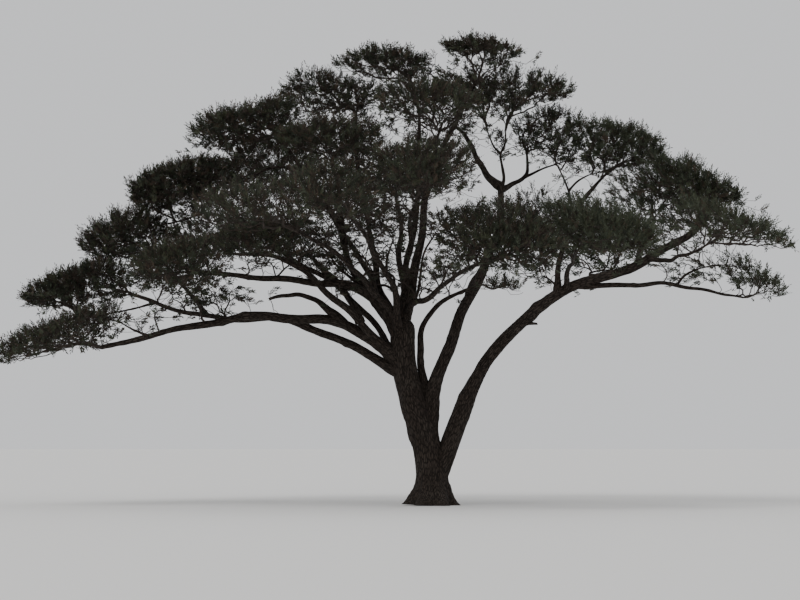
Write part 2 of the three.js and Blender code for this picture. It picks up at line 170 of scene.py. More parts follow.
# From this share of its length on, the bole rounds off inside the fork.
ROUNDED_FROM = 0.93
LEAST_ROUNDED = 0.1
LINE_STEPS = 400
SEAM_GAP = 1e-5
# The rim that lies under this height is the cut's.
CUT_HEIGHT = 0.01
# The bark's colours: its ridges, its fissures, painted near-black as the shade in them, and
# weathered patches.
BARK_COLOURS = {
    "Ridge": (0.058, 0.043, 0.034, 1),
    "Split": (0.012, 0.009, 0.007, 1),
    "Weathered": (0.082, 0.066, 0.054, 1),
}
BARK_RELIEF = 0.02
RINGS = ((0, (0.16, 0.07, 0.035)), (1, (0.34, 0.19, 0.1)))


def bezier(corners, shares):
    """Points on the curve that a few corners draw, at shares of its way."""
    rows = [np.outer(np.ones_like(shares), np.array(corner, float)) for corner in corners]
    part = shares[:, None]
    while len(rows) > 1:
        rows = [a * (1 - part) + b * part for a, b in zip(rows, rows[1:])]
    return rows[0]


def unit(rows):
    """The rows of vectors at length 1."""
    return rows / np.linalg.norm(rows, axis=-1, keepdims=True)


def ways_along(points):
    """How far along a line each of its points lies."""
    return np.concatenate([[0], np.linalg.norm(np.diff(points, axis=0), axis=1).cumsum()])


def frames(line, shares):
    """The points of a limb's line at shares of its length, with the directions along it,
    across it and over it there."""
    step = 0.004
    ahead = line["point"](np.minimum(1, shares + step))
    heading = unit(ahead - line["point"](np.maximum(0, shares - step)))
    over = unit(np.cross(line["side"], heading))
    return line["point"](shares), heading, np.cross(heading, over), over


def grain(spots, seed):
    """Smooth seeded noise between -1 and 1, about one lump to a unit of length. Large
    primes scatter the values of the cells' corners."""
    cell = np.floor(spots).astype(np.int64)
    part = spots - cell
    part = part * part * (3 - 2 * part)
    total = np.zeros(len(spots))
    for corner in np.ndindex(2, 2, 2):
        mixed = (cell + corner) @ np.array([73856093, 19349663, 83492791]) + seed * 7919
        mixed = (mixed ^ (mixed >> 13)) * 1274126177
        value = ((mixed ^ (mixed >> 16)) & 0xFFFF) / 32767.5 - 1
        total += value * np.prod(np.where(corner, part, 1 - part), axis=1)
    return total


def bark_radius(radius, angle, way, seed):
    """The radius of bark with its lumps, plates and splits, and the place in the bark
    that each spot has: two sides round the limb and one along it, in metres."""
    turned = angle + GRAIN_TURN * way
    place = np.stack([np.cos(turned) * radius, np.sin(turned) * radius, way], 1)
    lumps = grain(place * LUMPS, seed)
    wander = PLATE_WANDER * grain(place * WANDERS, seed + 1)
    ridges = 1 - 2 * np.abs(grain(place * PLATES + wander[:, None], seed + 2))
    fine = grain(place * FINE_SPLITS, seed + 3)
    splits = SPLIT_DEPTH * np.sqrt(radius * SPLIT_BY_RADIUS) * (ridges + FINE_DEPTH * fine)
    return radius * (1 + LUMP_HEIGHT * lumps) + splits, place


def knots(radius, angle, way, seed):
    """How far the knots of a limb stand out from it."""
    rng = np.random.default_rng(seed)
    middle = radius.mean()
    total = np.zeros(len(way))
    for _ in range(round(KNOTS_TO_A_METRE * way.max())):
        size = rng.uniform(*KNOT_SIZES) * middle
        round_it = np.angle(np.exp(1j * (angle - rng.uniform(-math.pi, math.pi)))) * radius
        along = way - rng.uniform(0, way.max())
        total += KNOT_HEIGHT * size * np.exp(-(round_it**2 + along**2) / size**2)
    return total


def wrap_bark(bm, line, radius_at, sides, row, seed, broken=0.0):
    """Wraps a sheet round a limb's line with its rows a length apart, closes it along its
    seam, and gives the sheet its relief. A broken limb ends in splinters."""
    layer = bm.verts.layers.float_vector.get("bark_place")
    fine = np.linspace(0, 1, LINE_STEPS)
    ways = ways_along(line["point"](fine))
    rows = round(ways[-1] / row)
    sheet = bmesh.ops.create_grid(bm, x_segments=rows, y_segments=sides, size=1)["verts"]
    flat = np.array([vertex.co for vertex in sheet])
    way = (flat[:, 0] + 1) / 2 * ways[-1]
    share = np.interp(way, ways, fine)
    angle = math.pi * flat[:, 1]
    spot, heading, across, over = frames(line, share)
    smooth = radius_at(share, angle)
    radius, place = bark_radius(smooth, angle, way, seed)
    radius = radius + knots(smooth, angle, way, seed)
    ring = np.stack([np.cos(angle), np.sin(angle), 0 * angle], 1)
    splinter = grain(SPLINTERS_ROUND * ring, seed)
    spot = spot + heading * (broken * splinter * (share > 1 - SPLINTERED * broken))[:, None]
    spot = spot + across * (np.cos(angle) * radius)[:, None]
    spot = spot + over * (np.sin(angle) * radius)[:, None]
    for vertex, there, in_bark in zip(sheet, spot, place):
        vertex.co = there
        vertex[layer] = in_bark
    bmesh.ops.remove_doubles(bm, verts=sheet, dist=SEAM_GAP)


def bark_bmesh():
    """An empty bmesh for bark, which keeps each spot's place in the bark."""
    bm = bmesh.new()
    bm.verts.layers.float_vector.new("bark_place")
    return bm


def close_ends(bm, at_end=lambda edge: True, material=0):
    """Closes the open rims of bark, all of them or those at one end."""
    rims = [edge for edge in bm.edges if edge.is_boundary and at_end(edge)]
    for face in bmesh.ops.holes_fill(bm, edges=rims, sides=0)["faces"]:
        face.material_index = material


def smooth_mesh(name, bm):
    """The bmesh as a mesh with outward faces and smooth shading, but for its ends."""
    bmesh.ops.recalc_face_normals(bm, faces=bm.faces)
    for face in bm.faces:
        face.smooth = len(face.verts) < 5
    mesh = bpy.data.meshes.new(name)
    bm.to_mesh(mesh)
    bm.free()
    return mesh


def node(tree, kind, values=None, **settings):
    """A new node of a tree, with its settings and the values of its sockets."""
    made = tree.nodes.new(f"ShaderNode{kind}")
    for name, value in settings.items():
        setattr(made, name, value)
    set_sockets(made, values or {})
    return made


def ramp(tree, stops):
    """A ramp between two colours, each given with its place."""
    made = node(tree, "ValToRGB")
    for element, (position, colour) in zip(made.color_ramp.elements, stops):
        element.position = position
        element.color = (*colour, 1)
    return made


def link_up(tree, rows):
    """Joins sockets in a node tree: from a node's output to a node's input."""
    for source, output, target, socket in rows:
        tree.links.new(source.outputs[output], target.inputs[socket])


def make_bark_split():
    """The pattern of split bark: colour, roughness and height from a spot's place in the
    bark, with painted shade in its fissures and in the low spots of its grain. Used on the
    trunk and boughs."""
    group = bpy.data.node_groups.new("bark_split", "ShaderNodeTree")
    for name, way, kind in (
        ("Place", "INPUT", "Vector"), ("Ridge", "INPUT", "Color"), ("Split", "INPUT", "Color"),
        ("Weathered", "INPUT", "Color"), ("Colour", "OUTPUT", "Color"),
        ("Roughness", "OUTPUT", "Float"), ("Height", "OUTPUT", "Float"),
    ):
        group.interface.new_socket(name, in_out=way, socket_type=f"NodeSocket{kind}")
    inside = group.nodes.new("NodeGroupInput")
    out = group.nodes.new("NodeGroupOutput")
    stretch = node(group, "Mapping", {"Scale": (26, 26, 5)})
    wander = node(group, "TexNoise", {"Scale": 9, "Detail": 3})
    bent = node(group, "Mix", {"Factor": 0.03}, data_type="VECTOR")
    plates = node(group, "TexVoronoi", {"Scale": 1}, feature="DISTANCE_TO_EDGE")
    depth = node(group, "MapRange", {"From Max": 0.22})
    rough_grain = node(group, "TexNoise", {"Scale": 2.5, "Detail": 8, "Roughness": 0.65})
    patches = node(group, "TexNoise", {"Scale": 1.7, "Detail": 4})
    patch_mask = node(group, "MapRange", {"From Min": 0.45, "From Max": 0.7})
    ridge_colour = node(group, "Mix", data_type="RGBA")
    # The fissures take the split colour: painted shade where the relief is low.
    whole = node(group, "Mix", data_type="RGBA")
    # Painted shade too: the fine grain darkens the colour where it lowers the relief.
    shade = node(group, "Mix", {0: 0.6}, data_type="RGBA", blend_type="MULTIPLY")
    rough = node(group, "MapRange", {"To Min": 0.98, "To Max": 0.78})
    height = node(group, "Math", {1: 0.35}, operation="MULTIPLY_ADD")
    # A mix of colours has sockets of one name for each kind, so they go by number.
    link_up(group, [
        (inside, "Place", wander, "Vector"),
        (inside, "Place", bent, "A"),
        (wander, "Color", bent, "B"),
        (bent, "Result", stretch, "Vector"),
        (stretch, "Vector", plates, "Vector"),
        (stretch, "Vector", rough_grain, "Vector"),
        (inside, "Place", patches, "Vector"),
        (plates, "Distance", depth, "Value"),
        (patches, "Fac", patch_mask, "Value"),
        (patch_mask, "Result", ridge_colour, "Factor"),
        (depth, "Result", whole, "Factor"),
        (rough_grain, "Fac", height, 0),
        (depth, "Result", height, 2),
        (height, "Value", out, "Height"),
        (depth, "Result", rough, "Value"),
        (rough, "Result", out, "Roughness"),
        (inside, "Ridge", ridge_colour, 6),
        (inside, "Weathered", ridge_colour, 7),
        (inside, "Split", whole, 6),
        (ridge_colour, 2, whole, 7),
        (whole, 2, shade, 6),
        (rough_grain, "Fac", shade, 7),
        (shade, 2, out, "Colour"),
    ])
    return group


def bark_material():
    """Dark split bark that follows each limb, by its place in the bark."""
    material, tree, shader = new_material("split_bark", {"Specular IOR Level": 0.2})
    place = node(tree, "Attribute", attribute_name="bark_place")
    split_bark = node(tree, "Group", BARK_COLOURS, node_tree=make_bark_split())
    bump = node(tree, "Bump", {"Distance": BARK_RELIEF, "Strength": 0.9})
    link_up(tree, [
        (place, "Vector", split_bark, "Place"),
        (split_bark, "Colour", shader, "Base Color"),
        (split_bark, "Roughness", shader, "Roughness"),
        (split_bark, "Height", bump, "Height"),
        (bump, "Normal", shader, "Normal"),
    ])
    return material


def end_grain():
    """Sawn wood with rings round the origin."""
    material, tree, shader = new_material("end_grain", {"Roughness": 0.8})
    place = node(tree, "TexCoord")
    rings = node(tree, "TexWave", {"Scale": 9, "Distortion": 2.5, "Detail": 3},
                 wave_type="RINGS", rings_direction="Z")
    wood = ramp(tree, RINGS)
    link_up(tree, [
        (place, "Object", rings, "Vector"),
        (rings, "Fac", wood, "Fac"),
        (wood, "Color", shader, "Base Color"),
    ])
    return material


def trunk_radius(share, angle):
    """The bole's taper with its flare and root lobes."""
    flare = np.exp(-trunk["point"](share)[:, 2] / FLARE_HEIGHT)
    lobe = 1 + LOBE_DEPTH * flare * np.cos(LOBES * angle)
    late = np.clip((share - ROUNDED_FROM) / (1 - ROUNDED_FROM), 0, 1)
    rounded = np.maximum(LEAST_ROUNDED, np.sqrt(1 - late**3))
    return (FOOT_RADIUS + (FORK_RADIUS - FOOT_RADIUS) * share + FLARE * flare) * lobe * rounded


trunk = {
    "point": lambda shares: bezier(TRUNK_LINE, shares),
    "side": np.array([1.0, 0, 0]),
    "radius": trunk_radius,
}

trunk_bm = bark_bmesh()
wrap_bark(trunk_bm, trunk, trunk_radius, TRUNK_SIDES, TRUNK_ROW, BARK_SEED)
for vertex in trunk_bm.verts:
    vertex.co.z = max(0, vertex.co.z)
close_ends(trunk_bm, lambda edge: edge.verts[0].co.z < CUT_HEIGHT, material=1)
close_ends(trunk_bm)
dark_bark = bark_material()
trunk_bark = object_from(smooth_mesh("trunk_bark", trunk_bm), [dark_bark, end_grain()])
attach(trunk_bark, "root")
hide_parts("trunk")

# The boughs. Each is one tapering limb of the same wood and bark, grown out of its parent
# through a swollen collar. They rise, bow and level off, and end in their own foliage.
BOUGH_FIELDS = ("name", "parent", "at", "girth", "arch", "crest", "sway", "tip", "pad", "half")
# Where a bough leaves its parent, its arch, the arch's top and its sway are shares of a
# length. The boughs draw their crooks in the order of the rows.
BOUGHS = {
    "right": [
        ("right_stem", "trunk", 0.06, 0.38, 0.094, 0.685, 0.066,
         (7.69, 0.3, 8.02), (7, 0.7, 8.95), (1.8, 1.9, 0.56)),
        ("right_low", "right_stem", 0.44, 0.15, 0.036, 0.56, 0,
         (8.69, 0.7, 5.75), (9.1, 0.95, 6.2), (0.85, 1.6, 0.45)),
        ("right_mid", "right_stem", 0.64, 0.15, -0.06, 0.5, 0,
         (7.25, -2.1, 6.95), (7.95, -2.8, 7.4), (1.5, 2.3, 0.48)),
        ("right_far", "right_stem", 0.6, 0.17, 0.03, 0.4, 0,
         (6.45, 3.3, 8.35), (6.9, 4.7, 8.85), (1.75, 2.1, 0.52)),
        ("right_up", "right_stem", 0.4, 0.17, 0.13, 0.49, 0,
         (5.2, 1.3, 9.48), (5.05, 1.5, 10.15), (1.95, 2.1, 0.52)),
        ("front_right", "right_stem", 0.42, 0.17, 0.06, 0.4, 0,
         (3.75, -3.5, 6.7), (4.3, -4.7, 7.2), (1.5, 2.3, 0.56)),
    ],
    "middle": [
        ("mid_stem", "trunk", 0.24, 0.38, 0, 0.57, 0.045, (1.93, 1, 8.98), None, None),
        ("mid_top", "mid_stem", 0.985, 0.19, -0.01, 0.55, -0.045,
         (0.7, 1.5, 10.65), (2.15, 1.5, 11.7), (1.9, 1.9, 0.45)),
        ("mid_right", "mid_stem", 0.97, 0.14, -0.356, 0.59, 0.043,
         (2.6, 1.8, 10.3), (3.4, 2.3, 10.7), (1.1, 1.8, 0.6)),
        ("back_right", "mid_stem", 0.5, 0.2, 0.1, 0.4, 0,
         (2.9, 4.9, 7.9), (3.4, 6.3, 8.25), (1.75, 2, 0.5)),
    ],
    "fork": [
        ("leader", "trunk", 0.985, 0.25, 0.048, 0.56, -0.008,
         (1.15, -0.5, 11.51), (1.35, -0.6, 12.45), (1.15, 1.8, 0.32)),
        ("leader_left", "trunk", 0.97, 0.21, -0.045, 0.48, 0.033,
         (-0.45, 0.5, 11.52), (-1.3, 0.4, 12.25), (1.4, 1.9, 0.34)),
        ("heart", "leader", 0.46, 0.15, 0.04, 0.5, 0,
         (0.15, -2.5, 9.95), (-0.1, -3.5, 10.65), (1.5, 1.9, 0.6)),
        ("right_inner", "leader", 0.01, 0.22, 0.032, 0.27, 0,
         (1.1, -4.9, 6.25), (1.65, -6.2, 6.9), (1.75, 2, 0.7)),
        ("slip", "mid_stem", 0.12, 0.22, 0.3, 0.47, -0.03,
         (1.27, -0.7, 6), (1.88, -1.3, 5.88), (0.7, 0.9, 0.26)),
        ("front_centre", "leader_left", 0.12, 0.19, 0.1, 0.4, 0,
         (-0.45, -5, 7.9), (-0.3, -6.3, 8.6), (1.35, 2.1, 0.6)),
    ],
    "left_upper": [
        ("left_riser", "trunk", 0.945, 0.22, -0.072, 0.34, 0.011,
         (-2.12, 1, 10.9), (-2.7, 1.4, 11.65), (1.55, 2.1, 0.5)),
        ("back_centre", "trunk", 0.965, 0.21, 0.1, 0.4, 0,
         (-1, 4.7, 9.2), (-1, 6, 9.85), (1.8, 2.3, 0.56)),
        ("left_high", "trunk", 0.925, 0.23, 0.004, 0.56, -0.03,
         (-4.2, -0.5, 9.97), (-5.15, -0.5, 10.5), (1.5, 2, 0.54)),
        ("left_crest", "left_high", 0.42, 0.15, 0.05, 0.5, 0,
         (-2.65, -2.8, 9.15), (-2.75, -3.9, 9.7), (1.6, 1.9, 0.5)),
        ("back_mid", "left_high", 0.14, 0.19, 0.1, 0.4, 0,
         (-4, 3.7, 9.25), (-4.9, 4.7, 9.85), (1.75, 2, 0.54)),
    ],
    "left_front": [
        ("front_mid", "trunk", 0.89, 0.21, 0.1, 0.4, 0,
         (-2.1, -5.6, 7.35), (-2.65, -6.9, 7.9), (1.4, 2, 0.64)),
        ("front_left", "trunk", 0.86, 0.21, 0.11, 0.4, 0,
         (-3.5, -4.6, 7.1), (-4.5, -5.9, 7.65), (1.45, 1.9, 0.6)),
    ],
    "left_lower": [
        ("left_sweep", "trunk", 0.76, 0.32, 0.139, 0.476, 0.03,
         (-8.97, -1, 4.29), (-10.2, -1.1, 4.6), (1.75, 2, 0.48)),
        ("left_low", "trunk", 0.7, 0.24, 0.041, 0.54, 0.028,
         (-8.3, 0.5, 5.82), (-9.8, 0.6, 6.15), (1.65, 2, 0.48)),
        ("left_rise", "left_low", 0.7, 0.14, 0.02, 0.5, 0,
         (-7.6, 0.7, 6.85), (-8.65, 1, 7.45), (1.3, 2, 0.64)),
        ("left_level", "trunk", 0.85, 0.28, 0.169, 0.456, 0.05,
         (-6.14, -1.9, 6.25), (-6.6, -3, 6.55), (1.3, 1.9, 0.64)),
    ],
    "left_middle": [
        ("left_steep", "trunk", 0.78, 0.24, 0.083, 0.517, -0.037,
         (-5, -1.9, 6.75), (-4.6, -3.4, 7), (1.25, 1.5, 0.46)),
        ("left_shoulder", "trunk", 0.7, 0.2, 0.058, 0.408, 0.01,
         (-6.35, 0.6, 8.74), (-7, 1, 9), (1.65, 2.1, 0.54)),
        ("back_left", "left_steep", 0.3, 0.19, 0.12, 0.4, 0,
         (-5.5, 4.1, 7.5), (-6.5, 5.2, 7.95), (1.75, 2, 0.56)),
    ],
}
# Dead branches that broke off short.
STUBS = [
    ("stub_left", "left_sweep", 0.22, 0.19, 0.17, 0.56, 0, (-4.45, -0.4, 5.64), None, None),
    ("stub_right", "right_stem", 0.3, 0.12, 0.05, 0.5, 0, (2.88, 0.1, 4.99), None, None),
]
BROKEN = 0.09
LIMB_SEED = 71
DICE_STEP = 16807
DICE_RANGE = 2147483647
LIMB_TIP_SHARE = 0.38
CROOK = 0.012
WAVES = {"over": 1.4, "across": 1.9, "fine": 3.7}
BOUGH_ROW = 0.05
BOUGH_SIDE = 0.034
FEWEST_SIDES = 16
# The collar fades over a share of the girth, from where the bough comes out of its parent.
COLLAR = 0.42
COLLAR_REACH = 0.9
LEAST_SLANT = 0.35
FIRST_PART = 0.06
CORNER_CUTS = 2
CORNER_CUT = 0.25
BOUGH_SEED_STEP = 10
STUB_SEED = 900
FORK_SEED = 950
UP = np.array([0.0, 0, 1])


def dice(seed):
    """Seeded draws between 0 and 1, as the solids use."""
    state = [seed]

    def draw():
        state[0] = state[0] * DICE_STEP % DICE_RANGE
        return state[0] / DICE_RANGE

    return draw


def limb_line(root, plan, draw):
    """A smooth bow from root to tip with seeded crooks, as the solids have it."""
    tip = np.array(plan["tip"], float)
    chord = tip - root
    length = np.linalg.norm(chord)
    along = chord / length
    side = unit(np.cross(along, UP))
    rise = np.cross(side, along)
    bend = root + chord * (2 * plan["crest"] - 0.5) + rise * (2 * plan["arch"] * length)
    phases = [draw(), draw(), draw()]

    def wave(shares, waves, phase):
        turns = 2 * np.pi * (waves * shares + phase)
        return CROOK * length * np.sin(np.pi * shares) * np.sin(turns)

    def point(shares):
        over = plan["sway"] * length * np.sin(2 * np.pi * shares)
        over = over + wave(shares, WAVES["over"], phases[0])
        over = over + wave(shares, WAVES["fine"], phases[2]) / 2
        across = wave(shares, WAVES["across"], phases[1])
        return bezier([root, bend, tip], shares) + np.outer(over, rise) + np.outer(across, side)

    return {"point": point, "side": side, "length": length}


def limb_radius(plan, parent, line):
    """The taper of a limb, with a collar where it comes out of its parent."""
    ends = line["point"](np.array([0.0, FIRST_PART]))
    at = np.array([plan["at"]])
    _, heading, _, _ = frames(parent, at)
    slant = np.linalg.norm(np.cross(unit(ends[1] - ends[0]), heading[0]))
    parent_radius = parent["radius"](at, np.zeros(1))[0]
    buried = parent_radius / max(LEAST_SLANT, slant)

    def radius(share, angle):
        out = np.maximum(0, share * line["length"] - buried)
        collar = 1 + COLLAR * np.exp(-out / (COLLAR_REACH * plan["girth"]))
        return plan["girth"] / 2 * (1 - (1 - LIMB_TIP_SHARE) * share) * collar

    return radius


def corner_line(root, corners):
    """A line through corners, with each corner cut a few times so that it bends there."""
    points = np.array([root, *corners], float)
    for _ in range(CORNER_CUTS):
        early = (1 - CORNER_CUT) * points[:-1] + CORNER_CUT * points[1:]
        late = CORNER_CUT * points[:-1] + (1 - CORNER_CUT) * points[1:]
        cut = np.stack([early, late], 1).reshape(-1, 3)
        points = np.concatenate([points[:1], cut[1:-1], points[-1:]])
    ways = ways_along(points)

    def point(shares):
        along = shares * ways[-1]
        return np.stack([np.interp(along, ways, points[:, axis]) for axis in range(3)], 1)

    side = unit(np.cross(points[-1] - points[0], UP))
    return {"point": point, "side": side, "length": ways[-1]}


def root_of(plan):
    """Where a limb leaves its parent's line."""
    return limbs[plan["parent"]]["point"](np.array([plan["at"]]))[0]


def add_limb(family, plan, line, seed, broken=0.0):
    """Wraps a limb in bark and keeps it among the limbs."""
    line["radius"] = limb_radius(plan, limbs[plan["parent"]], line)
    sides = max(FEWEST_SIDES, round(np.pi * plan["girth"] / BOUGH_SIDE))
    wrap_bark(bough_bms[family], line, line["radius"], sides, BOUGH_ROW, seed, broken)
    limbs[plan["name"]] = line
    family_of[plan["name"]] = family


# Thin forks that show in the gaps of the crown: name, parent, where it leaves it, girth,
# the mass that its twigs belong to, and its corners.
FORKS = [
    ("fork_inner", "mid_stem", 0.97, 0.1, "mid_top",
     [(2.07, 1.2, 9.13), (1.99, 1.2, 9.55), (1.93, 1.2, 9.83), (2.1, 1.2, 10.11),
      (2.1, 1.2, 10.5)]),
    ("fork_bent", "fork_inner", 0.62, 0.06, "mid_top", [(1.74, 1.3, 10.07), (1.57, 1.3, 10.6)]),
    ("fork_level", "mid_right", 0.45, 0.08, "mid_right",
     [(2.86, 1.8, 9.34), (3.03, 1.8, 9.43), (3.28, 1.8, 9.54), (3.8, 1.8, 9.7)]),
    ("loop_left", "right_up", 0.5, 0.09, "right_up",
     [(3.79, 1.3, 8.25), (3.94, 1.3, 8.62), (3.85, 1.3, 8.89), (3.68, 1.3, 9.31),
      (3.5, 1.3, 9.65)]),
    ("loop_cross", "loop_left", 0.62, 0.06, "right_up",
     [(4.04, 1.3, 9), (4.21, 1.3, 9.14), (4.49, 1.3, 9.28), (4.83, 1.3, 9.35)]),
    ("zigzag", "trunk", 0.985, 0.11, "left_crest",
     [(-0.94, 0.2, 5.79), (-1.03, 0.2, 5.98), (-1.03, 0.2, 6.33), (-1.25, 0.2, 6.38),
      (-1.25, 0.2, 6.7), (-1.21, 0.2, 6.92), (-1.08, 0.2, 7.3)]),
    ("zigzag_left", "zigzag", 0.32, 0.07, "left_crest",
     [(-1.21, 0.2, 6.07), (-1.6, 0.2, 6.06), (-1.99, 0.2, 6.16), (-2.3, 0.2, 6.4)]),
    ("leader_side", "leader", 0.03, 0.09, "heart",
     [(-0.42, -0.3, 5.68), (-0.33, -0.3, 6.15), (-0.27, -0.3, 6.78), (-0.16, -0.3, 7.07),
      (0.1, -0.3, 7.45)]),
    ("riser_side", "left_riser", 0.17, 0.06, "back_mid",
     [(-1.77, 0.4, 6.74), (-2.05, 0.4, 6.97), (-2.31, 0.4, 6.94), (-2.55, 0.4, 7.2)]),
    ("high_side", "left_high", 0.22, 0.09, "left_crest",
     [(-2.65, -0.5, 6.55), (-2.8, -0.5, 6.86), (-3.3, -0.5, 7.3)]),
    ("top_left", "leader", 0.9, 0.07, "leader",
     [(0.75, -0.5, 11.1), (0.45, -0.5, 11.4), (0.2, -0.5, 11.65), (-0.05, -0.5, 11.85)]),
    ("top_middle", "leader", 0.8, 0.06, "leader_left",
     [(0.65, -0.3, 10.9), (0.35, -0.2, 11.1), (0, 0, 11.2)]),
    ("top_right", "leader", 0.95, 0.06, "leader",
     [(1.2, -0.5, 11.35), (1.4, -0.5, 11.5), (1.6, -0.5, 11.55)]),
    ("high_under", "left_high", 0.8, 0.09, "left_high",
     [(-4.4, -0.5, 9.3), (-4.9, -0.5, 9), (-5.5, -0.4, 8.75)]),
    ("shoulder_under", "left_shoulder", 0.8, 0.09, "left_shoulder",
     [(-6.2, 0.6, 8.2), (-6.9, 0.6, 7.9), (-7.7, 0.7, 7.75)]),
    ("low_rise", "right_low", 0.5, 0.08, "right_low",
     [(6.85, 0.6, 6.1), (7, 0.6, 6.35), (7.4, 0.6, 6.55), (7.9, 0.65, 6.65)]),
    ("stem_rise", "right_stem", 0.52, 0.07, "right_stem",
     [(4.25, 0.2, 6.35), (4.5, 0.2, 6.45), (5, 0.3, 6.5)]),
    ("stem_left", "right_stem", 0.42, 0.07, "right_stem",
     [(3.45, 0.1, 6), (3.3, 0.1, 6.2), (3.05, 0, 6.3)]),
    ("low_under", "left_low", 0.9, 0.07, "left_low",
     [(-8.3, 0.3, 5.4), (-8.8, 0.2, 5.3), (-9.3, 0.2, 5.2)]),
    ("sweep_up", "left_sweep", 0.86, 0.07, "left_sweep",
     [(-8.2, -0.8, 4.8), (-8.5, -0.8, 5), (-8.8, -0.8, 5.05)]),
    ("steep_side", "left_steep", 0.55, 0.07, "left_steep",
     [(-3.51, -1.3, 6.33), (-3.66, -1.3, 6.71), (-3.74, -1.3, 6.9)]),
]
plans = {row[0]: dict(zip(BOUGH_FIELDS, row)) for rows in BOUGHS.values() for row in rows}
limbs = {"trunk": trunk}
family_of = {row[0]: family for family, rows in BOUGHS.items() for row in rows}
bough_bms = {family: bark_bmesh() for family in BOUGHS}
limb_draw = dice(LIMB_SEED)
for number, (name, plan) in enumerate(plans.items()):
    bow = limb_line(root_of(plan), plan, limb_draw)
    add_limb(family_of[name], plan, bow, BARK_SEED + BOUGH_SEED_STEP * number)
for number, row in enumerate(STUBS):
    plan = dict(zip(BOUGH_FIELDS, row))
    bow = limb_line(root_of(plan), plan, limb_draw)
    add_limb(family_of[plan["parent"]], plan, bow, STUB_SEED + number, BROKEN)
for number, (name, parent, at, girth, _, corners) in enumerate(FORKS):
    plan = {"name": name, "parent": parent, "at": at, "girth": girth}
    bent = corner_line(root_of(plan), corners)
    add_limb(family_of.get(parent, "fork"), plan, bent, FORK_SEED + number)

for family, rows in BOUGHS.items():
    close_ends(bough_bms[family])
    piece = object_from(smooth_mesh(f"bark_{family}", bough_bms[family]), [dark_bark])
    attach(piece, "root")
    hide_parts(*[f"bough_{row[0]}" for row in rows])

# The twigs. In each mass of foliage thin crooked wood goes on from the bough's outer part.
# Arms reach out low under the mass, and finer twigs fork and fork from them to its top.
CROWN_MIDDLE = np.array([-0.7, 0])
CROWN_HALF = np.array([10.8, 8.8])
CROWN_TILT = 0.42
FIRST_SEED = 1000
SEED_STEP = 37
# A mass's space reaches so far out and up in its halves, and not quite halfway to its
# neighbours, where heights count more.
RIM = 1.08
LEVELS = 1.5
SQUASH = 2
SPACE_MARGIN = 0.02
GOLDEN_ANGLE = math.pi * (3 - math.sqrt(5))
GOLDEN_SHARE = 0.7548776662
INSET = 0.15
SCATTER = 0.07
# The ends of arms and twigs, one to so much ground, with their levels in halves of the
# mass's height: arms lie low, and twigs end close under a bumpy dome, thinner at its rim.
ARM_AREA = 0.8
ARM_LEVEL = -0.95
ARM_RISE = 0.6
ARM_REACH = 0.8
TWIG_AREA = 0.028
TOP = -0.1
DOME = 0.65
BUMPS = 0.22
BUMPS_TO_A_METRE = 1.2
RIM_DEPTH = 0.16
CROWDING = 1.7
# A mass that stands far out in the crown is a wedge: thick inward and thin outward.
FAR = 1.4
# A mass's rim runs in and out by up to this share, in lobes of about this size.
RAGGED = 0.22
RAGGED_ROUND = 1.6
# How deep the masses hang, in halves of their height: thin at the crown's top, thick low
# down and in front.
DEPTHS = {
    "leader": 1.1, "leader_left": 1.5, "mid_top": 1.6, "left_riser": 1.9, "right_low": 1.5,
    "slip": 1.1, "right_mid": 1.9, "right_stem": 2.1, "right_far": 1.7, "right_up": 2.4,
    "mid_right": 2.3, "right_inner": 3.2, "front_right": 3.2, "left_high": 2.7,
    "left_shoulder": 3.2, "left_rise": 3, "left_level": 3.2, "left_low": 2.8, "front_mid": 2.5,
    "front_centre": 2.6, "heart": 2,
}
DEPTH_ELSE = 2.2
# How many shoots a mass has, in shares of the usual number.
FULLNESS = {
    "leader": 0.9, "leader_left": 0.9, "left_riser": 0.95, "mid_top": 1.25, "right_low": 0.55,
    "mid_right": 0.8, "slip": 0.7, "right_mid": 0.65, "right_far": 0.55, "back_left": 0.5,
    "left_shoulder": 1.2, "left_rise": 1.2, "heart": 0.65, "front_centre": 0.7,
    "front_mid": 0.75, "front_left": 0.7, "left_crest": 0.85, "back_centre": 0.8,
    "left_sweep": 0.85, "back_mid": 0.8, "back_right": 0.8,
}
# Each bough is bare up to this share. Beyond it small flat umbrellas of twigs stand over it,
# so many to a metre, each with a few ends.
BARE = {"right_stem": 0.4, "left_sweep": 0.62, "left_low": 0.57, "slip": 0.8, "right_low": 0.5,
        "right_inner": 0.25, "right_up": 0.95, "mid_right": 0.95, "mid_top": 0.95}
BARE_ELSE = 0.42
INNER_LAST = 0.95
INNER_TO_A_METRE = 3
INNER_ENDS = (9, 18)
INNER_REACH = 0.68
INNER_FLAT = (0.7, 0.7, 0.25)
INNER_ASIDE = 0.8
INNER_RISE = (0.3, 1.05)
# The outer part of a fork carries twigs too, and its end a few tufts.
FORK_BARE = 0.5
FORK_TUFTS = 3
TUFT_ASIDE = 0.3
TUFT_RISE = 0.2
# Arms and twigs may leave the outer part of their bough, at every such step. What leaves
# it further back, turns sharply or lies far along other wood is less likely to join.
SIDE_FROM = 0.4
SIDE_STEP = 0.3
SIDE_COST = 0.1
ARM_BALANCE = 0.6
ARM_TURN_COST = 3
TWIG_BALANCE = 0.5
TWIG_TURN_COST = 1.3
# A way in wood has pieces of about this length. It sets off along its heading, and sags.
WOOD_PIECE = 0.16
WOOD_SET_OFF = 0.3
WOOD_CROOK = 0.2
WOOD_SAG = 0.12
LEAST_GAP = 1e-9
# A twig's radius grows with the number of ends that it carries, up to a share of the
# bough's. The first twig starts this far inside its bough.
END_RADIUS = 0.006
RADIUS_POWER = 0.44
THICKEST = 0.9
SUNK = 0.15
# A twig's sides, by its radius.
TWIG_SIDES = ((0.035, 8), (0.016, 5), (0, 3))
# A direction that no twig keeps to, to turn its rings by.
TWIG_SLANT = (0.31, 0.17, 1)
TWIG_TONES = ((0.3, (0.022, 0.017, 0.014)), (0.75, (0.062, 0.049, 0.04)))


